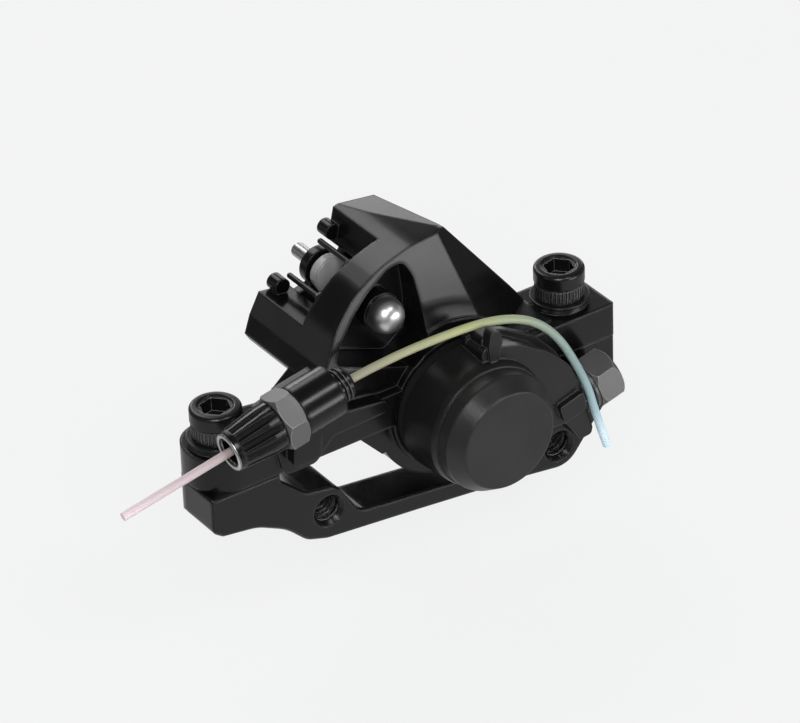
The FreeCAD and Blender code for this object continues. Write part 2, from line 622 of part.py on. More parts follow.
# running parts inside the housing
bush = turned("housing_bush", [
    (shaft_r + shaft_gap, bush_front, 0.2), (bush_r, bush_front, 0.2), (bush_r, cavity_front, 0.2),
    (shaft_r + shaft_gap, cavity_front, 0.2),
], "Y", ("drum_x", "0", "drum_z"))
node("shaft_bush", bush)
seal = turned("housing_seal", [
    (seal_r - 1.6, rim_front + 1.2), (seal_r - 1.6, seal_front, 0.2), (seal_r, seal_front, 0.3),
    (seal_r, rim_front), (seal_r - 0.6, rim_front), (seal_r - 0.6, rim_front + 1.2),
], "Y", ("drum_x", "0", "drum_z"))
node("dust_seal", seal)
thrust = turned("thrust_ring", [
    (shaft_r + 0.6, cavity_front), (disc_r, cavity_front), (disc_r, disc_front - 0.05), (shaft_r + 0.6, disc_front - 0.05),
], "Y", ("drum_x", "0", "drum_z"))
node("thrust_washer", thrust)
spindle_turn = turned("spindle", [
    (0, seat_y - 0.6), (shaft_r - 0.5, seat_y - 0.6), (shaft_r, seat_y - 0.1), (shaft_r, disc_front), (disc_r, disc_front, 0.3),
    (disc_r, disc_back, 0.3), (2.4, disc_back), (2.4, disc_back + 3.4, 0.4), (0, disc_back + 3.4),
], "Y", ("drum_x", "0", "drum_z"))
ring_groove = doc.addObject("Part::Torus", "ball_groove")
bind(ring_groove, "Radius1", "ball_pcr")
bind(ring_groove, "Radius2", "ball_r + ball_gap")
ring_groove.Placement.Rotation = ALONG_Y
for key, text in zip("xyz", ("drum_x", "ball_y", "drum_z")):
    bind(ring_groove, "Placement.Base." + key, text)
doc.recompute()
screw_hole = ycyl("spindle_thread", "drum_x", "drum_z", "arm_screw_r", "seat_y - 1", "seat_y + 9")
spindle = cut("spindle_done", spindle_turn, [ring_groove, screw_hole])
node("ramp_spindle", spindle)
balls = []
ball_holes = []
for i in range(3):
    angle = "(%d * 120 + 90) * 1deg" % i
    spot = ("drum_x + ball_pcr * cos(%s)" % angle, "ball_y", "drum_z + ball_pcr * sin(%s)" % angle)
    ball = doc.addObject("Part::Sphere", "ball_%d" % (i + 1))
    bind(ball, "Radius", "ball_r")
    for key, text in zip("xyz", spot):
        bind(ball, "Placement.Base." + key, text)
    doc.recompute()
    balls.append(ball)
    ball_holes.append(ycyl("ball_hole_%d" % (i + 1), spot[0], spot[2], "ball_r + 0.02", "disc_back - 1", "piston_front + 1"))
group("ramp_balls", balls)
cage_blank = turned("cage", [(2.9, 0.45, 0.15), (8.5, 0.45, 0.15), (8.5, 1.55, 0.15), (2.9, 1.55, 0.15)],
                    "Y", ("drum_x", "0", "drum_z"))
node("ball_cage", cut("cage_done", cage_blank, ball_holes))
piston_turn = turned("piston", [
    (2.6, piston_front), (piston_r, piston_front, 0.3), (piston_r, piston_back - 0.6), (piston_r - 0.6, piston_back),
    (0, piston_back), (0, piston_front + 3.2), (2.6, piston_front + 3.2),
], "Y", ("drum_x", "0", "drum_z"))
key_slot = ycyl("key_slot", key_x, key_z, "key_r + 0.08", "piston_front - 1", "piston_back + 1")
node("thrust_piston", cut("piston_done", piston_turn, [ring_groove, key_slot]))
node("piston_key", ycyl("key_pin", key_x, key_z, "key_r", "key_front", "slot_out - 0.1"))

# pads
turn = math.radians(pad_turn)


def pad_xy(u, v, r=0):
    """Point given across and along the pad's own radial line."""
    x = drum_x + u * math.cos(turn) - v * math.sin(turn)
    z = drum_z + u * math.sin(turn) + v * math.cos(turn)
    return (round(x, 4), round(z, 4), r)


plate_outline = [
    pad_xy(-8.2, -9.6, 3.5), pad_xy(8.2, -9.6, 3.5), pad_xy(11.0, -2.5, 4.0), pad_xy(11.0, 7.6, 1.5),
    pad_xy(6.6, 9.6, 2.0), pad_xy(plate_ear_r, 11.2, 3.0), pad_xy(plate_ear_r, pad_reach + plate_ear_r, plate_ear_r - 0.05),
    pad_xy(-plate_ear_r, pad_reach + plate_ear_r, plate_ear_r - 0.05),
    pad_xy(-plate_ear_r, 11.2, 3.0), pad_xy(-6.6, 9.6, 2.0), pad_xy(-11.0, 7.6, 1.5), pad_xy(-11.0, -2.5, 4.0),
]
lining_outline = [
    pad_xy(-7.0, -8.8, 3.0), pad_xy(7.0, -8.8, 3.0), pad_xy(9.6, -2.0, 4.0), pad_xy(9.6, 6.6, 2.0),
    pad_xy(-9.6, 6.6, 2.0), pad_xy(-9.6, -2.0, 4.0),
]
for side, level, hole in (("outboard", "out_plate", "out_eye"), ("inboard", "in_plate", "in_eye")):
    plate = pad(side + "_plate", "XZ_Plane", [plate_outline], level, level + " + plate_t")
    eye = ycyl(hole, lobe_x, lobe_z, "pin_r + pin_gap", level + " - 1", level + " + plate_t + 1")
    node(side + "_pad_plate", cut(side + "_plate_done", plate, [eye]))
    if side == "outboard":
        low, high = "out_plate + plate_t", "out_plate + plate_t + lining_t"
    else:
        low, high = "in_plate - lining_t", "in_plate"
    block_ = pad(side + "_lining_blank", "XZ_Plane", [lining_outline], low, high)
    groove = box(side + "_lining_groove", "-0.5", "0.5", low if side == "inboard" else "%s - 0.8" % high,
                 "%s + 0.8" % low if side == "inboard" else high, "-12", "12")
    groove.Placement.Rotation = FreeCAD.Rotation(FreeCAD.Vector(0, 1, 0), -pad_turn)
    start = pad_xy(-0.5, -12.0)
    groove.setExpression("Placement.Base.x", None)
    groove.setExpression("Placement.Base.z", None)
    groove.Placement.Base.x = start[0]
    groove.Placement.Base.z = start[1]
    doc.recompute()
    node(side + "_lining", cut(side + "_lining_done", block_, [groove]))

# pins of the pads
out_pin = turned("outboard_pin", [
    (0, pin_seat - pin_head_h), (1.2, pin_seat - pin_head_h, 0.5), (pin_head_r, pin_seat - 1.6, 1.6),
    (pin_head_r, pin_seat, 0.2), (pin_r, pin_seat), (pin_r, out_plate + plate_t + 0.6),
    (pin_r - 0.4, out_plate + plate_t + 1.0), (0, out_plate + plate_t + 1.0),
], "Y", (lobe_x, "0", lobe_z))
node("outboard_pad_pin", out_pin)
in_pin = turned("inboard_pin", [
    (0, in_plate + 0.05), (pin_r, in_plate + 0.05), (pin_r, lobe_back + 0.05), (2.1, lobe_back + 0.05, 0.2),
    (2.1, lobe_back + 1.0, 0.3), (pin_tip_r, lobe_back + 1.3), (pin_tip_r, pin_tip, 0.5), (0, pin_tip),
], "Y", (lobe_x, "0", lobe_z))
node("inboard_pad_pin", in_pin)

# pad spring: web on the outboard pin with two fingers beside the horns
web = [
    pad_xy(-2.8, pad_reach - 3.2, 1.5), pad_xy(2.8, pad_reach - 3.2, 1.5), (1.5, 20.5, 0.8), (-0.9, 24.6, 0.4),
    (-1.3, 25.7, 0.4), (-2.6, 25.6, 0.4), (-4.6, 23.4, 1.0), (-8.2, 21.3, 0.5), (-9.4, 21.0, 0.4), (-9.2, 19.9, 0.4),
    (-5.6, 17.6, 0.8),
]
spring_web = pad("spring_web", "XZ_Plane", [web], "out_plate + plate_t + 0.15", "out_plate + plate_t + 0.55")
spring_eye = ycyl("spring_eye", lobe_x, lobe_z, "pin_r + 0.15", "out_plate", "in_plate")
web_done = cut("spring_web_done", spring_web, [spring_eye])
fingers = []
for tag, x, z in (("a", "-1.9", "25.1"), ("b", "-8.7", "20.5")):
    fingers.append(ycyl("finger_" + tag, x, z, "finger_r", "out_plate + plate_t + 0.2", "finger_back"))
    tip = doc.addObject("Part::Sphere", "finger_tip_" + tag)
    bind(tip, "Radius", "finger_r")
    for key, text in zip("xyz", (x, "finger_back", z)):
        bind(tip, "Placement.Base." + key, text)
    doc.recompute()
    fingers.append(tip)
node("pad_spring", fuse("pad_spring_done", [web_done] + fingers))

# inboard adjuster
adjuster_turn = turned("adjuster", [
    (0, in_plate + plate_t + 0.05), (adjuster_pad_r, in_plate + plate_t + 0.05, 0.3), (adjuster_pad_r, slot_in - 0.1, 0.2),
    (adjuster_r, slot_in - 0.1), (adjuster_r, adjuster_back - 0.5), (adjuster_r - 0.5, adjuster_back),
    (0, adjuster_back),
], "Y", ("drum_x", "0", "drum_z"))
adjuster_socket = prism("adjuster_socket", "socket_af", ("drum_x", "adjuster_back - 4", "drum_z"), "5", ALONG_Y)
node("inboard_adjuster", cut("adjuster_done", adjuster_turn, [adjuster_socket]))

# actuator arm: turned drum, lever with cable track and clamp lug
drum_turn = turned("drum", [
    (shaft_r, drum_back + 0.4), (hub_r, drum_back + 0.4, 0.3), (hub_r, drum_cavity_front), (drum_cavity_r, drum_cavity_front),
    (drum_cavity_r, drum_back, 0.2), (drum_r_back, drum_back, 0.3), (drum_r_front, drum_front + 1.1, 0.5),
    (cap_r + 0.25, drum_front, 0.2), (seat_r, drum_front), (seat_r, seat_y), (shaft_r, seat_y),
], "Y", ("drum_x", "0", "drum_z"))
lever_outline = [
    (9.0, 11.8), (9.0, 15.4, 1.5), (17.0, 12.9, 8.0), (23.4, 8.8, 6.0), (27.6, 4.6, 4.0), (30.3, -0.6, 0.5),
    (23.0, -3.0, 0.8), (19.8, -6.0),
]
lever_front = pad("lever_front", "XZ_Plane", [lever_outline], "arm_front", "arm_front + 1.6")
lever_core_outline = [
    (9.0, 11.8), (9.0, 15.0, 1.5), (16.6, 12.6, 8.0), (22.6, 8.6, 6.0), (26.6, 4.4, 4.0), (30.6, 1.4, 1.0), (30.8, -0.4, 0.5),
    (26.5, -8.8, 1.0), (18.5, -8.4),
]
lever_core = pad("lever_core", "XZ_Plane", [lever_core_outline], "arm_front + 1.4", "arm_back")
lever_rear_outline = [
    (9.0, 11.8), (9.0, 15.6, 1.0), (16.9, 13.8, 8.0), (24.0, 9.4, 6.0), (28.2, 4.8, 4.0), (30.4, 1.0, 1.0), (24.0, -3.0), (18.5, -8.4),
]
lever_rear = pad("lever_rear", "XZ_Plane", [lever_rear_outline], "arm_back - 1.4", "arm_back")
tab_outline = [
    (10.3, 12.0), (10.0, 15.5, 0.5), (10.6, 18.6, 1.2), (12.4, 17.9, 1.0), (12.9, 15.6, 0.6), (11.9, 12.0),
]
tab = pad("cable_tab", "XZ_Plane", [tab_outline], "arm_front - 0.7", "tab_back")
bridge_outline = [(9.8, 12.0), (9.9, 16.4, 0.5), (12.6, 16.0, 0.5), (12.9, 12.0)]
tab_bridge = pad("tab_bridge", "XZ_Plane", [bridge_outline], "tab_back - 0.1", "arm_back - 0.6")
n_clamp = math.radians(clamp_tilt)


def clamp_xy(s, t, r=0):
    """Point given along and across the clamp axis."""
    x = clamp_x + s * math.cos(n_clamp) - t * math.sin(n_clamp)
    z = clamp_z + s * math.sin(n_clamp) + t * math.cos(n_clamp)
    return (round(x, 4), round(z, 4), r)


face_s = -(wire_r + wire_gap)
lug_outline = [
    (24.0, 3.5, 0), clamp_xy(face_s - 2.5, 4.6, 1.0), clamp_xy(face_s, 3.4, 0.5), clamp_xy(face_s, -7.0, 0.8),
    clamp_xy(face_s - 0.6, -8.2, 0.8), (30.4, -13.0, 0.8), (27.2, -8.2, 1.0), (22.0, -7.6),
]
lug = pad("clamp_lug", "XZ_Plane", [lug_outline], "lug_front", "lug_back")
stud_outline = [clamp_xy(-6.8, 2.6, 0.6), clamp_xy(-1.5, 2.8, 0.6), clamp_xy(-1.6, -1.0, 0.6), clamp_xy(-6.6, -1.3, 0.6)]
lug_block = pad("lug_block", "XZ_Plane", [stud_outline], "lug_front - 1.3", "lug_front + 1")
arm_sum = fuse("arm_sum", [drum_turn, lever_front, lever_core, lever_rear, tab, tab_bridge, lug, lug_block])
arm_tools = [
    ycyl("arm_cavity", "drum_x", "drum_z", "drum_cavity_r", "drum_cavity_front", "arm_back + 2"),
    ycyl("arm_seat", "drum_x", "drum_z", "seat_r", "arm_front - 4", "seat_y"),
]
hub_keep = ycyl("arm_hub", "drum_x", "drum_z", "hub_r", "drum_cavity_front", "drum_back + 0.4")
arm_hollow = cut("arm_hollow", arm_sum, arm_tools[:1])
arm_hubbed = fuse("arm_hubbed", [arm_hollow, hub_keep])
arm_bores = [
    ycyl("arm_bore", "drum_x", "drum_z", "shaft_r", "seat_y - 1", "drum_back + 1"),
    along("clamp_hole", "clamp_r", "-6.5", "1", "clamp"),
]
node("actuator_arm", cut("arm_done", arm_hubbed, arm_bores))
screw_turn = turned("arm_screw", [
    (0, seat_y - 3.4), (2.4, seat_y - 3.4), (3.2, seat_y - 3.0), (3.2, seat_y - 0.6), (arm_screw_r, seat_y - 0.6),
    (arm_screw_r, seat_y + 8.0), (0, seat_y + 8.0),
], "Y", ("drum_x", "0", "drum_z"))
screw_socket = prism("arm_screw_socket", "3", ("drum_x", "seat_y - 3.5", "drum_z"), "1.9", ALONG_Y)
screw_done = cut("arm_screw_done", screw_turn, [screw_socket])
node("arm_screw", screw_done)
ring = turned("arm_washer", [
    (arm_screw_r + 1.7, seat_y - 0.6), (6.2, seat_y - 0.6), (6.2, seat_y), (arm_screw_r + 1.7, seat_y),
], "Y", ("drum_x", "0", "drum_z"))
cap_blank = turned("cap", [
    (0, cap_front + cap_wall), (cap_face_r - 0.9, cap_front + cap_wall), (seat_r - 1.4, cap_front + 4.4), (seat_r - 1.4, seat_y - 0.1),
    (seat_r, seat_y - 0.1), (seat_r, drum_front), (cap_r, drum_front), (cap_r - 0.1, cap_shoulder, 0.8),
    (cap_face_r, cap_front, 0.4), (0, cap_front),
], "Y", ("drum_x", "0", "drum_z"))
node("arm_cap", cap_blank)

# cable clamp
clamp_washer = turned("clamp_washer", [
    (clamp_r, wire_r + wire_gap), (4.4, wire_r + wire_gap, 0.1), (4.4, wire_r + wire_gap + clamp_washer_t, 0.1),
    (clamp_r, wire_r + wire_gap + clamp_washer_t),
], "Z", ("clamp_x", "clamp_y", "clamp_z"))
clamp_washer.Placement.Rotation = CLAMP
node("clamp_washer", clamp_washer)
head_s = "wire_r + wire_gap + clamp_washer_t"
head_x = "clamp_x + (%s) * cos(clamp_tilt * 1deg)" % head_s
head_z = "clamp_z + (%s) * sin(clamp_tilt * 1deg)" % head_s
hex_head = prism("clamp_hex", "clamp_af", (head_x, "clamp_y", head_z), "clamp_head", CLAMP, 45.0)
dome = turned("clamp_dome", [
    (0, 0), (clamp_af / 2 + 0.1, 0), (clamp_af / 2 + 0.9, 0.9), (clamp_af / 2 + 0.9, clamp_head - 1.2),
    (clamp_af / 2 - 0.2, clamp_head, 0.4), (0, clamp_head),
], "Z", (head_x, "clamp_y", head_z))
dome.Placement.Rotation = CLAMP
rounded_head = doc.addObject("Part::Common", "clamp_head_round")
rounded_head.Base = hex_head
rounded_head.Tool = dome
doc.recompute()
clamp_shank = along("clamp_shank", "clamp_r", "-6.0", head_s + " + 0.5", "clamp")
node("clamp_bolt", fuse("clamp_bolt_done", [rounded_head, clamp_shank]))

# cable stop: hollow adjusting barrel and its lock nut
barrel_turn = turned("barrel", [
    (stop_bore, 0.5), (mouth_r - 0.9, 0.0), (mouth_r, 0.0, 0.3), (mouth_r + 0.25, 1.0), (barrel_r, barrel_end - 2.4, 1.0), (barrel_r, barrel_end, 0.3),
    (stop_thread_r, barrel_end), (stop_thread_r, stop_end - 0.5), (stop_thread_r - 0.5, stop_end), (stop_bore, stop_end),
], "Z", ("stop_x", "stop_y", "stop_z"))
barrel_turn.Placement.Rotation = STOP
mouth = along("barrel_mouth", "mouth_r - 1.1", "-1", "3.2")
flutes = []
flute_count = 12
for i in range(flute_count):
    flute = doc.addObject("Part::Cylinder", "flute_%d" % (i + 1))
    bind(flute, "Radius", "flute_r")
    flute.Height = barrel_end + 1
    a = 2 * math.pi * i / flute_count
    # the flutes follow the cone of the barrel
    low = FreeCAD.Vector((mouth_r + 0.3) * math.cos(a), (mouth_r + 0.3) * math.sin(a), 1.3)
    high = FreeCAD.Vector((barrel_r + 0.25) * math.cos(a), (barrel_r + 0.25) * math.sin(a), barrel_end - 1.2)
    lean = FreeCAD.Rotation(UP, high - low)
    flute.Placement = FreeCAD.Placement(station(0), STOP).multiply(FreeCAD.Placement(low, lean))
    doc.recompute()
    flutes.append(flute)
flute_set = doc.addObject("Part::Compound", "flutes")
flute_set.Links = flutes
doc.recompute()
node("barrel_adjuster", cut("barrel_done", barrel_turn, [mouth, flute_set]))
nut_x = "stop_x + nut_start * cos(stop_tilt * 1deg)"
nut_z = "stop_z + nut_start * sin(stop_tilt * 1deg)"
nut_hex = prism("nut_hex", "nut_af", (nut_x, "stop_y", nut_z), "nut_end - nut_start", STOP, 12.0)
nut_h = nut_end - nut_start
nut_round = turned("nut_round", [
    (0, 0), (nut_af / 2 - 0.1, 0), (nut_af / 2 + 0.8, 0.7), (nut_af / 2 + 0.8, nut_h - 0.7), (nut_af / 2 - 0.1, nut_h), (0, nut_h),
], "Z", (nut_x, "stop_y", nut_z))
nut_round.Placement.Rotation = STOP
nut_common = doc.addObject("Part::Common", "nut_blank")
nut_common.Base = nut_hex
nut_common.Tool = nut_round
doc.recompute()
nut_hole = along("nut_hole", "stop_thread_r + stop_thread_gap", "nut_start - 1", "nut_end + 1")
node("barrel_lock_nut", cut("nut_done", nut_common, [nut_hole]))

# return spring of the arm: round wire wound about the spindle
coil = Part.makeHelix(spring_pitch, spring_pitch * spring_turns, spring_coil_r)
ring_wire = Part.Wire([Part.Circle(FreeCAD.Vector(spring_coil_r, 0, 0), FreeCAD.Vector(0, 1, 0), spring_wire_r).toShape()])
spring_solid = Part.Wire(coil.Edges).makePipeShell([ring_wire], True, True)
spring_feature = doc.addObject("Part::Feature", "return_spring_wire")
spring_feature.Shape = spring_solid
spring_feature.Placement = FreeCAD.Placement(FreeCAD.Vector(drum_x, -14.0, drum_z), ALONG_Y)
node("return_spring", spring_feature)

# inner brake wire: through the barrel, over the arm, under the clamp washer
wire_y = clamp_y - clamp_r - wire_r - wire_gap
mid_dir = FreeCAD.Vector(math.cos(math.radians(stop_tilt)), 0, math.sin(math.radians(stop_tilt)))
cross = FreeCAD.Vector(math.sin(n_clamp), 0, -math.cos(n_clamp))
grip = FreeCAD.Vector(clamp_x, wire_y, clamp_z)
route = [
    station(-24.5), station(-8), station(12), station(stop_end + 1.0), FreeCAD.Vector(-1.2, -11.3, 18.2),
    FreeCAD.Vector(15.2, -12.6, 18.3), FreeCAD.Vector(25.0, -14.0, 13.2), grip - cross * 4.6, grip + cross * 4.6,
    grip + cross * 12.0 + FreeCAD.Vector(0.6, 0.2, 0),
]
curve = Part.BSplineCurve()
curve.interpolate(route)
wire_path = Part.Wire([curve.toShape()])
start_dir = curve.tangent(curve.FirstParameter)[0]
wire_ring = Part.Wire([Part.Circle(route[0], start_dir, wire_r).toShape()])
wire_solid = wire_path.makePipeShell([wire_ring], True, False)
wire_feature = doc.addObject("Part::Feature", "brake_wire")
wire_feature.Shape = wire_solid
node("brake_cable", wire_feature)
node("arm_washer", ring)
doc.recompute()
# the handed-out frame starts on the adapter's seat, midway between the frame holes
datum = FreeCAD.Vector(-datum_x, -adapter_front, -datum_z)
os.makedirs("parts", exist_ok=True)
for obj in doc.Objects:
    if "Invalid" in obj.State or "Error" in obj.State:
        raise ValueError("%s is in state %s" % (obj.Name, obj.State))
for name, obj in NODES:
    if obj.Shape.isNull() or not obj.Shape.isValid():
        raise ValueError("%s has no valid shape" % name)
    placed = obj.Shape.copy()
    placed.translate(datum)
    placed.exportStep("parts/%s.step" % name)
    print("%-20s %8.1f mm3  solids %d" % (name, obj.Shape.Volume, len(obj.Shape.Solids)))
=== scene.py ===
"""Looks of a mechanical disc brake caliper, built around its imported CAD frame, in metres."""

import json
import math

import bmesh
import bpy
from mathutils import Matrix, Vector


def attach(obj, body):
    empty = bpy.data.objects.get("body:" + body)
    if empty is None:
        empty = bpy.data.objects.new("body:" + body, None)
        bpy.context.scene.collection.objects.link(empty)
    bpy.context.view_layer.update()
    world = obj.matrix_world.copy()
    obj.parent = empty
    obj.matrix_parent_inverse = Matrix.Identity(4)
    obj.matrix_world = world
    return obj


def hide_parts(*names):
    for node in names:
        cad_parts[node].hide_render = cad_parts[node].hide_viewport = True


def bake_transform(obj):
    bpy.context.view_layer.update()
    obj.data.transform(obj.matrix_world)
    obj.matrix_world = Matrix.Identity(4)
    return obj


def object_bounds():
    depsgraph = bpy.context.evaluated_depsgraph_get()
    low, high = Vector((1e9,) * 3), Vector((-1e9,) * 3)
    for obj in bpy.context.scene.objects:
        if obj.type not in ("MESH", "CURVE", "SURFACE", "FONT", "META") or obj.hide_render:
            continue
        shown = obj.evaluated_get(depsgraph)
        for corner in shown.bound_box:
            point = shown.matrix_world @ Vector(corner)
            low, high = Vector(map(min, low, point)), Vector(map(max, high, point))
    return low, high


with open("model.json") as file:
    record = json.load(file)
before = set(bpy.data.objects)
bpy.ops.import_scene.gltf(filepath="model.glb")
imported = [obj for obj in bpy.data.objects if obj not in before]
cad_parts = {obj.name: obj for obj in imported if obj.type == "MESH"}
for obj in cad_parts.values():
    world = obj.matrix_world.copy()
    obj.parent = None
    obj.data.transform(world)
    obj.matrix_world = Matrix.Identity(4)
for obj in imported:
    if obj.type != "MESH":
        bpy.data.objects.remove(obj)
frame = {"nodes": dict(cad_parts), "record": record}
cad_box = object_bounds()

MM = 0.001
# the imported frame's origin, seen in the design frame
DATUM = Vector((6.15, -7.0, -20.0))
Y_AXIS = Vector((0.0, 1.0, 0.0))


def design(x, y, z):
    """Point given in the design frame's millimetres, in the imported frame's metres."""
    return (Vector((x, y, z)) - DATUM) * MM


def add_object(name, data):
    obj = bpy.data.objects.new(name, data)
    bpy.context.collection.objects.link(obj)
    return obj


# camera, as fitted to the photograph: angles in degrees, lengths in the design frame's millimetres
CAMERA_AZIMUTH = 33.8
CAMERA_ELEVATION = 33.2
CAMERA_ROLL = -2.2
CAMERA_DISTANCE = 900.0
CLIP_START = 0.05
CLIP_END = 20.0
PHOTO_WIDTH = 800
PHOTO_HEIGHT = 723
PIXELS_PER_MM = 5.65
TARGET = (0.0, 0.0, 14.2)
TARGET_PIXEL = (390.2, 333.3)
SENSOR = 36.0


def make_camera():
    psi = math.radians(CAMERA_AZIMUTH)
    tilt = math.radians(CAMERA_ELEVATION)
    roll = math.radians(CAMERA_ROLL)
    forward = Vector((math.sin(psi) * math.cos(tilt), math.cos(psi) * math.cos(tilt), -math.sin(tilt)))
    level = Vector((math.cos(psi), -math.sin(psi), 0.0))
    steep = level.cross(forward)
    right = level * math.cos(roll) + steep * math.sin(roll)
    up = steep * math.cos(roll) - level * math.sin(roll)
    off_x = (TARGET_PIXEL[0] - PHOTO_WIDTH / 2) / PIXELS_PER_MM
    off_y = -(TARGET_PIXEL[1] - PHOTO_HEIGHT / 2) / PIXELS_PER_MM
    place = Vector(TARGET) - forward * CAMERA_DISTANCE - right * off_x - up * off_y
    data = bpy.data.cameras.new("photo_camera")
    data.sensor_width = SENSOR
    data.lens = PIXELS_PER_MM * CAMERA_DISTANCE * SENSOR / PHOTO_WIDTH
    data.clip_start = CLIP_START
    data.clip_end = CLIP_END
    obj = add_object("photo_camera", data)
    turn = Matrix((right, up, -forward)).transposed()
    obj.matrix_world = Matrix.Translation(design(*place)) @ turn.to_4x4()
    bpy.context.scene.camera = obj


make_camera()

# sizes of the pieces made here and of the solids they sit on, in the design frame's millimetres
STOP = {"at": Vector((-41.7, -11.0, 11.9)), "tilt": 10.8, "end": 25.6}
CLAMP = {"at": Vector((32.3, -12.5, -4.4)), "tilt": 14.0, "bolt_r": 2.45}
BOLT = {"x": 37.1, "low": 8.35, "high": 10.95, "r": 4.34}
FRAME_HOLES = {"at": ((-19.1, -12.1), (31.397, -19.242)), "front": -6.1, "length": 7.6, "r": 2.5}
PIN = {"at": Vector((-1.901, 0.0, 19.647)), "r": 1.45, "seat": -0.4, "end": 10.0, "chamfer": 0.4}
PIN_HEAD = {"r": 3.4, "rim": 1.1, "dome": 3.3, "chamfer": 0.25, "fullness": 0.8, "steps": 9}
EAR = {"y": 15.4, "r": 3.25, "t": 0.25, "chamfer": 0.1}
SPRING = {"at": Vector((8.9, -14.0, 0.0)), "wire_r": 0.75, "coil_r": 8.6, "pitch": 1.75, "turns": 2.6}
WIRE_R = 0.8
WIRE_GAP = 0.1

stop_tilt = math.radians(STOP["tilt"])
stop_axis = Vector((math.cos(stop_tilt), 0.0, math.sin(stop_tilt)))


def station(s):
    """Point at station s on the cable stop's axis."""
    return STOP["at"] + stop_axis * s


# materials
RELIEF_DEPTH = 0.0002
BEVEL_SAMPLES = 6
# cosine of the angle that the rounded normal makes with the face, where the paler edge colour (partly wear,
# partly painted highlight) is full and where it starts
WORN_HIGHLIT_FULL = 0.86
WORN_HIGHLIT_START = 0.98


def grey(value):
    return (value, value, value)


def new_material(name, color, rough, metal=0.0, level=0.5, coat=0.0, coat_rough=0.2):
    mat = bpy.data.materials.new(name)
    mat.use_nodes = True
    shader = mat.node_tree.nodes["Principled BSDF"]
    shader.inputs["Base Color"].default_value = (*color, 1.0)
    shader.inputs["Roughness"].default_value = rough
    shader.inputs["Metallic"].default_value = metal
    shader.inputs["Specular IOR Level"].default_value = level
    shader.inputs["Coat Weight"].default_value = coat
    shader.inputs["Coat Roughness"].default_value = coat_rough
    return mat, shader


def link(mat, out, into):
    mat.node_tree.links.new(out, into)


def add_node(mat, kind, **settings):
    """Node with its properties or inputs set by name."""
    n = mat.node_tree.nodes.new(kind)
    for key, value in settings.items():
        if hasattr(n, key):
            setattr(n, key, value)
        else:
            n.inputs[key.replace("_", " ")].default_value = value
    return n


def ramp(mat, source, stops):
    """Colour ramp fed by source; stops are (position, colour)."""
    n = mat.node_tree.nodes.new("ShaderNodeValToRGB")
    while len(n.color_ramp.elements) < len(stops):
        n.color_ramp.elements.new(0.5)
    for element, (place, color) in zip(n.color_ramp.elements, stops):
        element.position = place
        element.color = (*color, 1.0)
    link(mat, source, n.inputs["Fac"])
    return n.outputs["Color"]


def mixed(mat, factor, first, second):
    """Colour between two; first is a socket and second a colour."""
    n = add_node(mat, "ShaderNodeMix", data_type="RGBA")
    link(mat, factor, n.inputs["Factor"])
    link(mat, first, n.inputs["A"])
    n.inputs["B"].default_value = (*second, 1.0)
    return n.outputs["Result"]


def span(mat, source, low, high):
    """Share of the way from low to high."""
    n = add_node(mat, "ShaderNodeMapRange")
    n.inputs["From Min"].default_value = low
    n.inputs["From Max"].default_value = high
    link(mat, source, n.inputs["Value"])
    return n.outputs["Result"]


def bevel_normal(mat, radius_mm):
    return add_node(mat, "ShaderNodeBevel", samples=BEVEL_SAMPLES, Radius=radius_mm * MM).outputs["Normal"]


def worn_and_highlit_edges(mat, color, worn_highlit_edge, worn_highlit_mm):
    """Paler colour where the surface turns sharply: partly edge wear, partly a painted highlight along the
    edges.
    """
    shape = add_node(mat, "ShaderNodeNewGeometry")
    dot = add_node(mat, "ShaderNodeVectorMath", operation="DOT_PRODUCT")
    link(mat, bevel_normal(mat, worn_highlit_mm), dot.inputs[0])
    link(mat, shape.outputs["Normal"], dot.inputs[1])
    where = ramp(mat, dot.outputs["Value"], [(WORN_HIGHLIT_FULL, grey(1.0)), (WORN_HIGHLIT_START, grey(0.0))])
    return mixed(mat, where, color, worn_highlit_edge)


def painted(
    name, color, rough, worn_highlit_edge=None, metal=0.0, level=0.5, coat=0.0, coat_rough=0.2,
    spread=0.2, tone=0.2, patch=90.0, grain=1400.0, bump=0.03, round_mm=0.25, worn_highlit_mm=0.16,
):
    """Slow change of gloss and tone, fine grain, edges rounded for the light and made a little paler, partly
    for wear and partly as a painted highlight.
    """
    mat, shader = new_material(name, color, rough, metal, level, coat, coat_rough)
    place = add_node(mat, "ShaderNodeTexCoord").outputs["Object"]
    slow = add_node(mat, "ShaderNodeTexNoise", Scale=patch, Detail=4.0)
    link(mat, place, slow.inputs["Vector"])
    low, high = grey(rough * (1 - spread)), grey(min(1.0, rough * (1 + spread)))
    link(mat, ramp(mat, slow.outputs["Fac"], [(0.3, low), (0.7, high)]), shader.inputs["Roughness"])
    fine = add_node(mat, "ShaderNodeTexNoise", Scale=grain, Detail=3.0)
    link(mat, place, fine.inputs["Vector"])
    relief = add_node(mat, "ShaderNodeBump", Strength=bump, Distance=RELIEF_DEPTH)
    link(mat, fine.outputs["Fac"], relief.inputs["Height"])
    link(mat, bevel_normal(mat, round_mm), relief.inputs["Normal"])
    link(mat, relief.outputs["Normal"], shader.inputs["Normal"])
    dark, pale = tuple(c * (1 - tone) for c in color), tuple(c * (1 + tone) for c in color)
    last = ramp(mat, slow.outputs["Fac"], [(0.25, dark), (0.75, pale)])
    # paler edges: partly wear, partly a painted highlight
    if worn_highlit_edge:
        last = worn_and_highlit_edges(mat, last, worn_highlit_edge, worn_highlit_mm)
    link(mat, last, shader.inputs["Base Color"])
    return mat


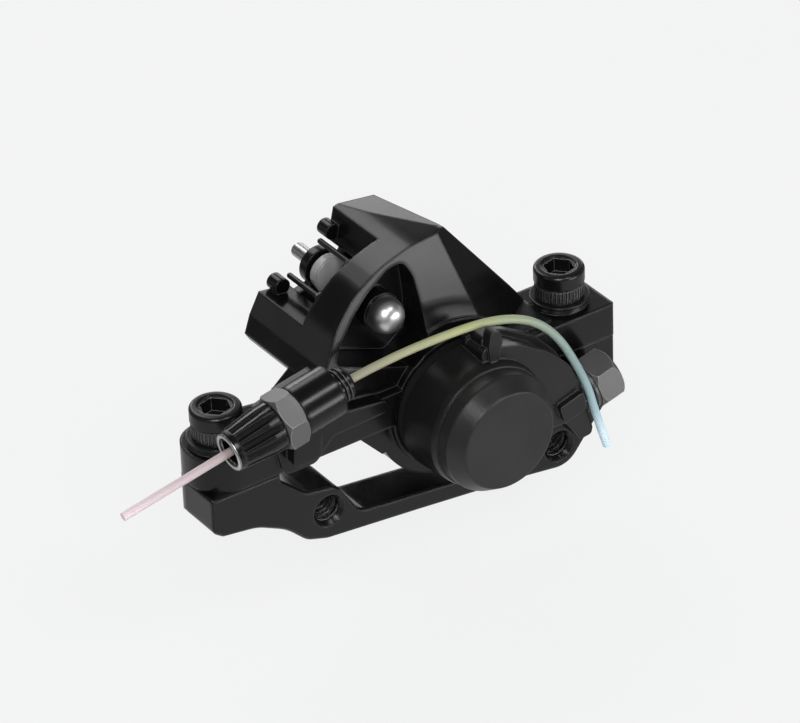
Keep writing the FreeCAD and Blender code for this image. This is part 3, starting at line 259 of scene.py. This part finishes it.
# colours of the inner wire by its place along X, and of its tail, which drops down Z
WIRE_SPAN = (-66.0, 37.0)
WIRE_COLORS = (
    (0.0, (0.86, 0.72, 0.77)),
    (0.26, (0.44, 0.36, 0.36)),
    (0.47, (0.28, 0.27, 0.20)),
    (0.58, (0.36, 0.36, 0.22)),
    (0.72, (0.42, 0.45, 0.22)),
    (0.84, (0.30, 0.36, 0.25)),
    (0.93, (0.25, 0.36, 0.36)),
    (1.0, (0.52, 0.72, 0.84)),
)
TAIL_SPAN = (-7.0, -13.0)
TAIL_COLOR = (0.70, 0.88, 0.98)
STRAND_SCALE = 1500.0
# how dark the painted shade in the grooves between strands is, and how much of it is laid over the wire's
# colour
STRAND_SHADE = 0.8
STRAND_SHARE = 0.7
STRAND_DEPTH = 0.0001


def cable_material():
    """Lay of the strands along the wire, with painted shade in the grooves between them, and its colour from
    end to end.
    """
    mat, shader = new_material("cable_wire", (0.4, 0.42, 0.3), 0.4)
    place = add_node(mat, "ShaderNodeTexCoord").outputs["Object"]
    parts = add_node(mat, "ShaderNodeSeparateXYZ")
    link(mat, place, parts.inputs["Vector"])
    along = span(mat, parts.outputs["X"], *(design(x, 0, 0).x for x in WIRE_SPAN))
    drop = span(mat, parts.outputs["Z"], *(design(0, 0, z).z for z in TAIL_SPAN))
    tinted = mixed(mat, drop, ramp(mat, along, WIRE_COLORS), TAIL_COLOR)
    waves = add_node(mat, "ShaderNodeTexWave", Scale=STRAND_SCALE, Distortion=0.4, bands_direction="DIAGONAL")
    link(mat, place, waves.inputs["Vector"])
    # painted shade in the grooves between strands, darkest where the strands' relief is lowest
    strand_groove_shade = ramp(mat, waves.outputs["Fac"], [(0.1, grey(STRAND_SHADE)), (0.6, grey(1.0))])
    both = add_node(mat, "ShaderNodeMix", data_type="RGBA", blend_type="MULTIPLY")
    both.inputs["Factor"].default_value = STRAND_SHARE
    link(mat, tinted, both.inputs["A"])
    link(mat, strand_groove_shade, both.inputs["B"])
    link(mat, both.outputs["Result"], shader.inputs["Base Color"])
    relief = add_node(mat, "ShaderNodeBump", Strength=0.12, Distance=STRAND_DEPTH)
    link(mat, waves.outputs["Fac"], relief.inputs["Height"])
    link(mat, relief.outputs["Normal"], shader.inputs["Normal"])
    return mat


# finishes by material slot; the edge colour is the paler colour of the edges, partly wear and partly a
# painted highlight
FINISHES = {
    "gloss_black": dict(
        color=grey(0.0042), rough=0.24, worn_highlit_edge=grey(0.07), level=0.34, coat=0.12, coat_rough=0.12, round_mm=0.8,
    ),
    "satin_black": dict(
        color=grey(0.009), rough=0.34, worn_highlit_edge=grey(0.13), level=0.42, bump=0.06, round_mm=0.5,
    ),
    "black_steel": dict(color=grey(0.006), rough=0.24, worn_highlit_edge=grey(0.3), round_mm=0.35),
    "gunmetal": dict(color=grey(0.1), rough=0.38, worn_highlit_edge=grey(0.65), metal=0.25, bump=0.06),
    "bush_metal": dict(color=(0.55, 0.42, 0.22), rough=0.35, metal=1.0),
    "rubber_black": dict(color=grey(0.012), rough=0.6, level=0.3, bump=0.1),
    "steel": dict(color=grey(0.5), rough=0.33, metal=1.0),
    "bright_steel": dict(color=grey(0.85), rough=0.4, metal=1.0, bump=0.05),
    "spring_black": dict(color=grey(0.006), rough=0.28, worn_highlit_edge=grey(0.2)),
    "charcoal_plastic": dict(
        color=grey(0.017), rough=0.36, worn_highlit_edge=grey(0.5), level=0.42, bump=0.12, round_mm=0.5, worn_highlit_mm=0.22,
    ),
    "plate_grey": dict(color=grey(0.42), rough=0.42, worn_highlit_edge=grey(0.7), metal=0.2, bump=0.08, round_mm=0.3),
    "lining": dict(color=(0.05, 0.04, 0.035), rough=0.9, level=0.2, bump=0.5, grain=2500.0),
}
MATERIALS = {name: painted(name, **finish) for name, finish in FINISHES.items()}
MATERIALS["cable_wire"] = cable_material()


def dress():
    slots = {s["node"]: s["material_slot"] for s in frame["record"]["subparts"]}
    for name, obj in frame["nodes"].items():
        obj.data.materials.clear()
        obj.data.materials.append(MATERIALS[slots[name]])


dress()


# mesh pieces
def skin(mesh, loops, closed=False, capped=False):
    """Quads between each loop of vertices and the next."""
    following = loops[1:] + (loops[:1] if closed else [])
    for low, high in zip(loops, following):
        n = len(low)
        for k in range(n):
            mesh.faces.new((low[k], low[(k + 1) % n], high[(k + 1) % n], high[k]))
    if capped:
        mesh.faces.new(loops[0])
        mesh.faces.new(loops[-1][::-1])


def add_piece(name, mesh, slot, body=None, smooth=True):
    """Object from a bmesh, with its slot's material, riding on its body if it has one."""
    data = bpy.data.meshes.new(name)
    bmesh.ops.recalc_face_normals(mesh, faces=mesh.faces)
    mesh.to_mesh(data)
    mesh.free()
    for face in data.polygons:
        face.use_smooth = smooth
    obj = add_object(name, data)
    data.materials.append(MATERIALS[slot])
    if body:
        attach(obj, body)
    return obj


def frame_along(direction):
    """Two unit vectors square to a direction."""
    side = direction.cross(Y_AXIS)
    if side.length < 0.1:
        side = Vector((1.0, 0.0, 0.0))
    side.normalize()
    return side, direction.cross(side).normalized()


THREAD_STEPS = 36
RUN_OUT = 0.4
ROOT_HALF = 0.42
CREST_HALF = 0.08


def thread(name, start, direction, length, inner, outer, pitch, body):
    """One closed ridge wound round an axis, between two radii, with run-out at both ends."""
    side, other = frame_along(direction)
    mesh = bmesh.new()
    count = int((length - pitch * 2 * RUN_OUT) / pitch * THREAD_STEPS)
    loops = []
    for i in range(count + 1):
        angle = 2 * math.pi * i / THREAD_STEPS
        fade = min(1.0, i / (THREAD_STEPS * RUN_OUT), (count - i) / (THREAD_STEPS * RUN_OUT))
        crest = inner + (outer - inner) * max(0.03, fade)
        out = side * math.cos(angle) + other * math.sin(angle)
        at = start + direction * (pitch * RUN_OUT + pitch * i / THREAD_STEPS)
        profile = ((inner, -ROOT_HALF), (crest, -CREST_HALF), (crest, CREST_HALF), (inner, ROOT_HALF))
        loops.append([mesh.verts.new(design(*(at + out * r + direction * (pitch * w)))) for r, w in profile])
    skin(mesh, loops, capped=True)
    return add_piece(name, mesh, "black_steel", body, smooth=False)


KNURL_TEETH = 42
KNURL_RISE = 0.22


def knurl(name, x):
    """Straight knurling round a bolt's lower head: a ring of fine teeth with sloped ends."""
    mesh = bmesh.new()
    low, high = BOLT["low"], BOLT["high"]
    rows = ((low, 0.0), (low + KNURL_RISE, KNURL_RISE), (high - KNURL_RISE, KNURL_RISE), (high, 0.0))
    loops = []
    for z, rise in rows:
        loop = []
        for i in range(KNURL_TEETH * 2):
            angle = math.pi * i / KNURL_TEETH
            r = BOLT["r"] + (rise if i % 2 else 0.0)
            loop.append(mesh.verts.new(design(x + r * math.cos(angle), r * math.sin(angle), z)))
        loops.append(loop)
    skin(mesh, loops)
    return add_piece(name, mesh, "black_steel", "caliper", smooth=False)


RING_STEPS = 72


def ring(name, start, direction, outline, slot, body):
    """Turned piece: outline points are (radius, height along the axis), closed."""
    side, other = frame_along(direction)
    mesh = bmesh.new()
    loops = []
    for i in range(RING_STEPS):
        angle = 2 * math.pi * i / RING_STEPS
        out = side * math.cos(angle) + other * math.sin(angle)
        loops.append([mesh.verts.new(design(*(start + out * r + direction * h))) for r, h in outline])
    skin(mesh, loops, closed=True)
    bmesh.ops.remove_doubles(mesh, verts=mesh.verts, dist=1e-7)
    return add_piece(name, mesh, slot, body)


# the barrel's thread where it stands out behind the cable boss, and the threads of the frame holes
BARREL_THREAD = {"from": 22.2, "length": 3.1, "inner": 2.86, "outer": 3.28, "pitch": 0.8}
HOLE_THREAD = {"root": 0.02, "crest": -0.34, "pitch": 1.0}
thread(
    "barrel_thread", station(BARREL_THREAD["from"]), stop_axis, BARREL_THREAD["length"],
    BARREL_THREAD["inner"], BARREL_THREAD["outer"], BARREL_THREAD["pitch"], "barrel",
)
for number, (x, z) in enumerate(FRAME_HOLES["at"], 1):
    thread(
        "frame_thread_%d" % number, Vector((x, FRAME_HOLES["front"], z)), Y_AXIS, FRAME_HOLES["length"],
        FRAME_HOLES["r"] + HOLE_THREAD["root"], FRAME_HOLES["r"] + HOLE_THREAD["crest"], HOLE_THREAD["pitch"],
        "caliper",
    )

knurl("bolt_knurl_left", -BOLT["x"])
knurl("bolt_knurl_right", BOLT["x"])

# bright rim at the barrel's mouth
LIP = [(2.45, 0.35), (2.9, -0.02), (3.45, -0.06), (3.66, 0.2), (3.62, 0.5), (2.6, 0.9)]
ring("barrel_lip", station(0.0), stop_axis, LIP, "bright_steel", "barrel")


# the outboard pad's pin with its domed head, and the closed ear of the inboard plate
def pin_outline():
    """Shank, rim and dome; heights run along the pin."""
    r, end, seat, cut = PIN["r"], PIN["end"], PIN["seat"], PIN["chamfer"]
    outline = [(0.0, end), (r - cut, end), (r, end - cut), (r, seat)]
    head_r, cut = PIN_HEAD["r"], PIN_HEAD["chamfer"]
    outline += [(head_r - cut, seat), (head_r, seat - cut)]
    base = seat - PIN_HEAD["rim"]
    for step in range(PIN_HEAD["steps"]):
        angle = math.radians(90.0 * step / PIN_HEAD["steps"])
        across = head_r * math.cos(angle) ** PIN_HEAD["fullness"]
        outline.append((across, base - PIN_HEAD["dome"] * math.sin(angle)))
    return outline + [(0.0, base - PIN_HEAD["dome"])]


def ear_outline():
    r, high, cut = EAR["r"], EAR["y"], EAR["chamfer"]
    low = high - EAR["t"]
    return [(0.0, low), (r - cut, low), (r, low + cut), (r, high), (0.0, high)]


pin_dome = ring("pin_dome", PIN["at"], Y_AXIS, pin_outline(), "bright_steel", "caliper")
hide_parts("outboard_pad_pin")
ring("ear_face", PIN["at"], Y_AXIS, ear_outline(), "plate_grey", "inboard_pad")


def make_leaf():
    """Pad spring, a copy of the solid's mesh shown in its place."""
    node = frame["nodes"]["pad_spring"]
    leaf = add_object("spring_leaf", node.data.copy())
    leaf.matrix_world = node.matrix_world.copy()
    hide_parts("pad_spring")
    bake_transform(leaf)


make_leaf()

COIL_STEPS = 48
COIL_SIDES = 12


def make_coil():
    """Return spring, the same coil as the solid, lying between the body and the arm."""
    mesh = bmesh.new()
    loops = []
    for i in range(int(SPRING["turns"] * COIL_STEPS) + 1):
        angle = 2 * math.pi * i / COIL_STEPS
        out = Vector((math.cos(angle), 0.0, -math.sin(angle)))
        middle = SPRING["at"] + out * SPRING["coil_r"] + Y_AXIS * (SPRING["pitch"] * i / COIL_STEPS)
        loop = []
        for k in range(COIL_SIDES):
            turn = 2 * math.pi * k / COIL_SIDES
            at = middle + (out * math.cos(turn) + Y_AXIS * math.sin(turn)) * SPRING["wire_r"]
            loop.append(mesh.verts.new(design(*at)))
        loops.append(loop)
    skin(mesh, loops, capped=True)
    coil = add_piece("spring_coil", mesh, "spring_black")
    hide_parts("return_spring")
    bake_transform(coil)


make_coil()


# the inner wire: route points as in the solid, moved where the spline would cut a corner
def wire_points():
    tilt = math.radians(CLAMP["tilt"])
    across = Vector((math.sin(tilt), 0.0, -math.cos(tilt)))
    grip = CLAMP["at"] - Y_AXIS * (CLAMP["bolt_r"] + WIRE_R + WIRE_GAP)
    return [
        station(-22.2),
        station(-8.0),
        station(12.0),
        station(STOP["end"] + 1.0),
        Vector((-1.2, -11.3, 18.2)),
        Vector((15.2, -12.6, 18.3)),
        Vector((25.0, -14.0, 13.2)),
        grip - across * 4.6,
        grip + across * 4.6,
        grip + across * 12.0 + Vector((0.6, 0.2, 0.0)),
    ]


def wire_curve(points):
    data = bpy.data.curves.new("wire_line", "CURVE")
    data.dimensions = "3D"
    data.resolution_u = 24
    spline = data.splines.new("NURBS")
    spline.points.add(len(points) - 1)
    for point, at in zip(spline.points, points):
        point.co = (*design(*at), 1.0)
    spline.order_u = 3
    spline.use_endpoint_u = True
    return add_object("wire_line", data)


def mesh_of(obj):
    bpy.context.view_layer.update()
    return bpy.data.meshes.new_from_object(obj.evaluated_get(bpy.context.evaluated_depsgraph_get()))


def make_wire():
    """Tube along the route's spline, and the points of its middle line."""
    curve = wire_curve(wire_points())
    path = [v.co.copy() for v in mesh_of(curve).vertices]
    curve.data.bevel_depth = WIRE_R * MM
    curve.data.bevel_resolution = 4
    curve.data.use_fill_caps = True
    tube = mesh_of(curve)
    bpy.data.objects.remove(curve)
    for face in tube.polygons:
        face.use_smooth = True
    tube.materials.clear()
    tube.materials.append(MATERIALS["cable_wire"])
    return add_object("brake_wire", tube), path


wire, wire_path = make_wire()
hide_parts("brake_cable")
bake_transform(wire)

# points of the design frame that the floor lies round and the lamps aim at
FLOOR_MIDDLE = (0.0, -10.0, 0.0)
LAMP_AIM = (0.0, 0.0, 5.0)
# floor, world and lamps, in metres and watts
FLOOR_SIZE = 6.0
FLOOR_GAP = 0.012
FLOOR_GREY = 0.88
FLOOR_SHARE = 0.9
BACKDROP = (0.905, 0.91, 0.91, 1.0)
FILL = (1.0, 1.0, 1.0, 1.0)
FILL_LEVEL = 0.35
# what gloss sees: a floor that is pale near the part, a pale band at the horizon and a dim ceiling
CEILING = 0.1
HORIZON = 0.5
FLOOR_MIRROR = 0.62
FLOOR_NEAR = 0.09
FLOOR_FAR = 0.19
BAND = ((0.0, CEILING), (0.03, HORIZON), (0.12, HORIZON), (0.24, CEILING))
# name, direction from the part, width and height, power, distance
LAMPS = (
    ("top_box", (0.07, 0.70, 0.71), (0.4, 0.35), 1.3, 0.9),
    ("rim_box", (0.60, 0.77, 0.20), (0.7, 0.45), 1.5, 0.9),
    ("key_box", (-0.45, -0.60, 0.66), (0.35, 0.35), 3.4, 0.9),
    ("side_box", (0.465, -0.86, 0.05), (0.4, 0.25), 1.2, 0.9),
    ("low_box", (0.465, -0.88, -0.03), (0.22, 0.06), 0.24, 0.36),
    ("front_box", (0.19, -0.57, 0.80), (0.28, 0.18), 1.3, 0.9),
    ("knob_box", (0.14, 0.92, 0.36), (0.22, 0.14), 0.7, 0.9),
)


def either(mat, first, second):
    """Whether one of two light path outputs is set."""
    n = add_node(mat, "ShaderNodeMath", operation="MAXIMUM")
    link(mat, first, n.inputs[0])
    link(mat, second, n.inputs[1])
    return n.outputs["Value"]


def mix_shaders(mat, factor, first, second):
    n = add_node(mat, "ShaderNodeMixShader")
    link(mat, factor, n.inputs["Fac"])
    link(mat, first, n.inputs[1])
    link(mat, second, n.inputs[2])
    return n.outputs["Shader"]


def floor_material():
    """Matt paper that glows like the backdrop for the camera, and fades away from the part in gloss."""
    mat, shader = new_material("floor_paper", grey(FLOOR_GREY), 0.9)
    glow = add_node(mat, "ShaderNodeEmission", Strength=1.0, Color=BACKDROP)
    ray = add_node(mat, "ShaderNodeLightPath").outputs
    part = add_node(mat, "ShaderNodeMath", operation="MULTIPLY")
    part.inputs[1].default_value = FLOOR_SHARE
    link(mat, ray["Is Camera Ray"], part.inputs[0])
    seen = mix_shaders(mat, part.outputs["Value"], shader.outputs["BSDF"], glow.outputs["Emission"])
    away = add_node(mat, "ShaderNodeVectorMath", operation="LENGTH")
    link(mat, add_node(mat, "ShaderNodeTexCoord").outputs["Object"], away.inputs[0])
    stops = [(FLOOR_NEAR, grey(FLOOR_MIRROR)), (FLOOR_FAR, grey(CEILING))]
    mirrored = add_node(mat, "ShaderNodeEmission", Strength=1.0)
    link(mat, ramp(mat, away.outputs["Value"], stops), mirrored.inputs["Color"])
    glossy = either(mat, ray["Is Glossy Ray"], ray["Is Transmission Ray"])
    out = mix_shaders(mat, glossy, seen, mirrored.outputs["Emission"])
    link(mat, out, mat.node_tree.nodes["Material Output"].inputs["Surface"])
    return mat


def make_floor():
    low = cad_box[0][2] - FLOOR_GAP
    corners = [(x * FLOOR_SIZE, y * FLOOR_SIZE, low) for x, y in ((-1, -1), (1, -1), (1, 1), (-1, 1))]
    mesh = bpy.data.meshes.new("floor")
    mesh.from_pydata(corners, [], [(0, 1, 2, 3)])
    mesh.materials.append(floor_material())
    floor = add_object("floor", mesh)
    floor.location = design(*FLOOR_MIDDLE).xy.to_3d()


def make_world():
    """Backdrop for the camera, a pale band under a dim ceiling in gloss and glass, and even fill light."""
    world = bpy.data.worlds.new("studio")
    bpy.context.scene.world = world
    world.use_nodes = True
    fill = world.node_tree.nodes["Background"]
    fill.inputs["Color"].default_value = FILL
    fill.inputs["Strength"].default_value = FILL_LEVEL
    parts = add_node(world, "ShaderNodeSeparateXYZ")
    link(world, add_node(world, "ShaderNodeTexCoord").outputs["Generated"], parts.inputs["Vector"])
    band = ramp(world, parts.outputs["Z"], [(height, grey(level)) for height, level in BAND])
    mirrored = add_node(world, "ShaderNodeBackground", Strength=1.0)
    link(world, band, mirrored.inputs["Color"])
    plain = add_node(world, "ShaderNodeBackground", Strength=1.0, Color=BACKDROP)
    ray = add_node(world, "ShaderNodeLightPath").outputs
    glossy = either(world, ray["Is Glossy Ray"], ray["Is Transmission Ray"])
    first = mix_shaders(world, glossy, fill.outputs["Background"], mirrored.outputs["Background"])
    both = mix_shaders(world, ray["Is Camera Ray"], first, plain.outputs["Background"])
    link(world, both, world.node_tree.nodes["World Output"].inputs["Surface"])


def area_lamp(name, direction, size, power, distance):
    """Soft box seen from the part in the given direction."""
    data = bpy.data.lights.new(name, "AREA")
    data.shape = "RECTANGLE"
    data.size = size[0]
    data.size_y = size[1]
    data.energy = power
    lamp = add_object(name, data)
    aim = Vector(direction).normalized()
    lamp.location = design(*LAMP_AIM) + aim * distance
    lamp.rotation_euler = (-aim).to_track_quat("-Z", "Y").to_euler()


make_floor()
make_world()
for lamp_row in LAMPS:
    area_lamp(*lamp_row)
bpy.context.scene.view_settings.view_transform = "Standard"
